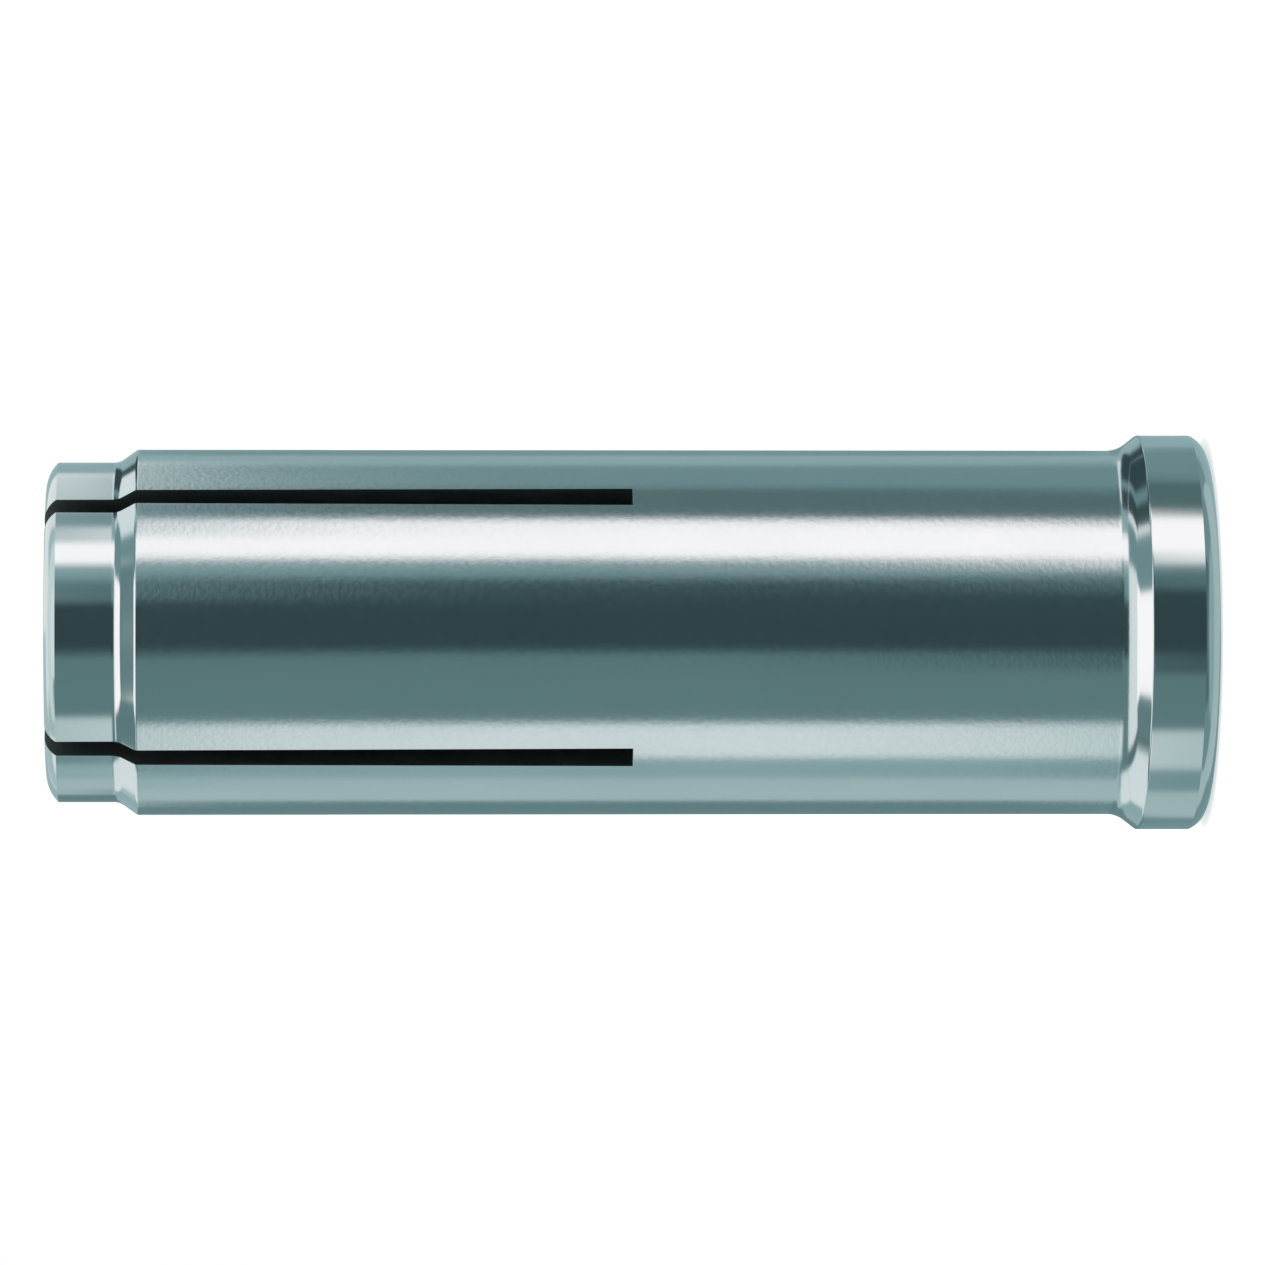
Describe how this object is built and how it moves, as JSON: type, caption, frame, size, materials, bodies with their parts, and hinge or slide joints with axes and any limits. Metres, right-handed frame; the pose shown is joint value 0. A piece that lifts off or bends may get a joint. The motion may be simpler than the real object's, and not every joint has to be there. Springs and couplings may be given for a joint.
{
  "type": "drop-in anchor",
  "caption": "Lipped drop-in anchor: a zinc-plated expansion sleeve with an internal thread, saw slots at the tip and a cone plug seated in its tapered bore.",
  "frame": {"origin": "middle of the mouth face, on the anchor's axis; the anchor stands on this face", "axes": "+Z along the axis from the mouth and lip to the slotted tip; the saw slots lie in the planes at 45 degrees between X and Y"},
  "size_m": [0.0136, 0.0136, 0.0397],
  "materials": {
    "zinc_plated_steel": "satin zinc plating, polished on the neck and the lip",
    "plain_steel": "plain turned steel, lightly oiled"
  },
  "bodies": {
    "root": {"sleeve": "zinc_plated_steel", "expander_plug": "plain_steel"}
  },
  "joints": []
}
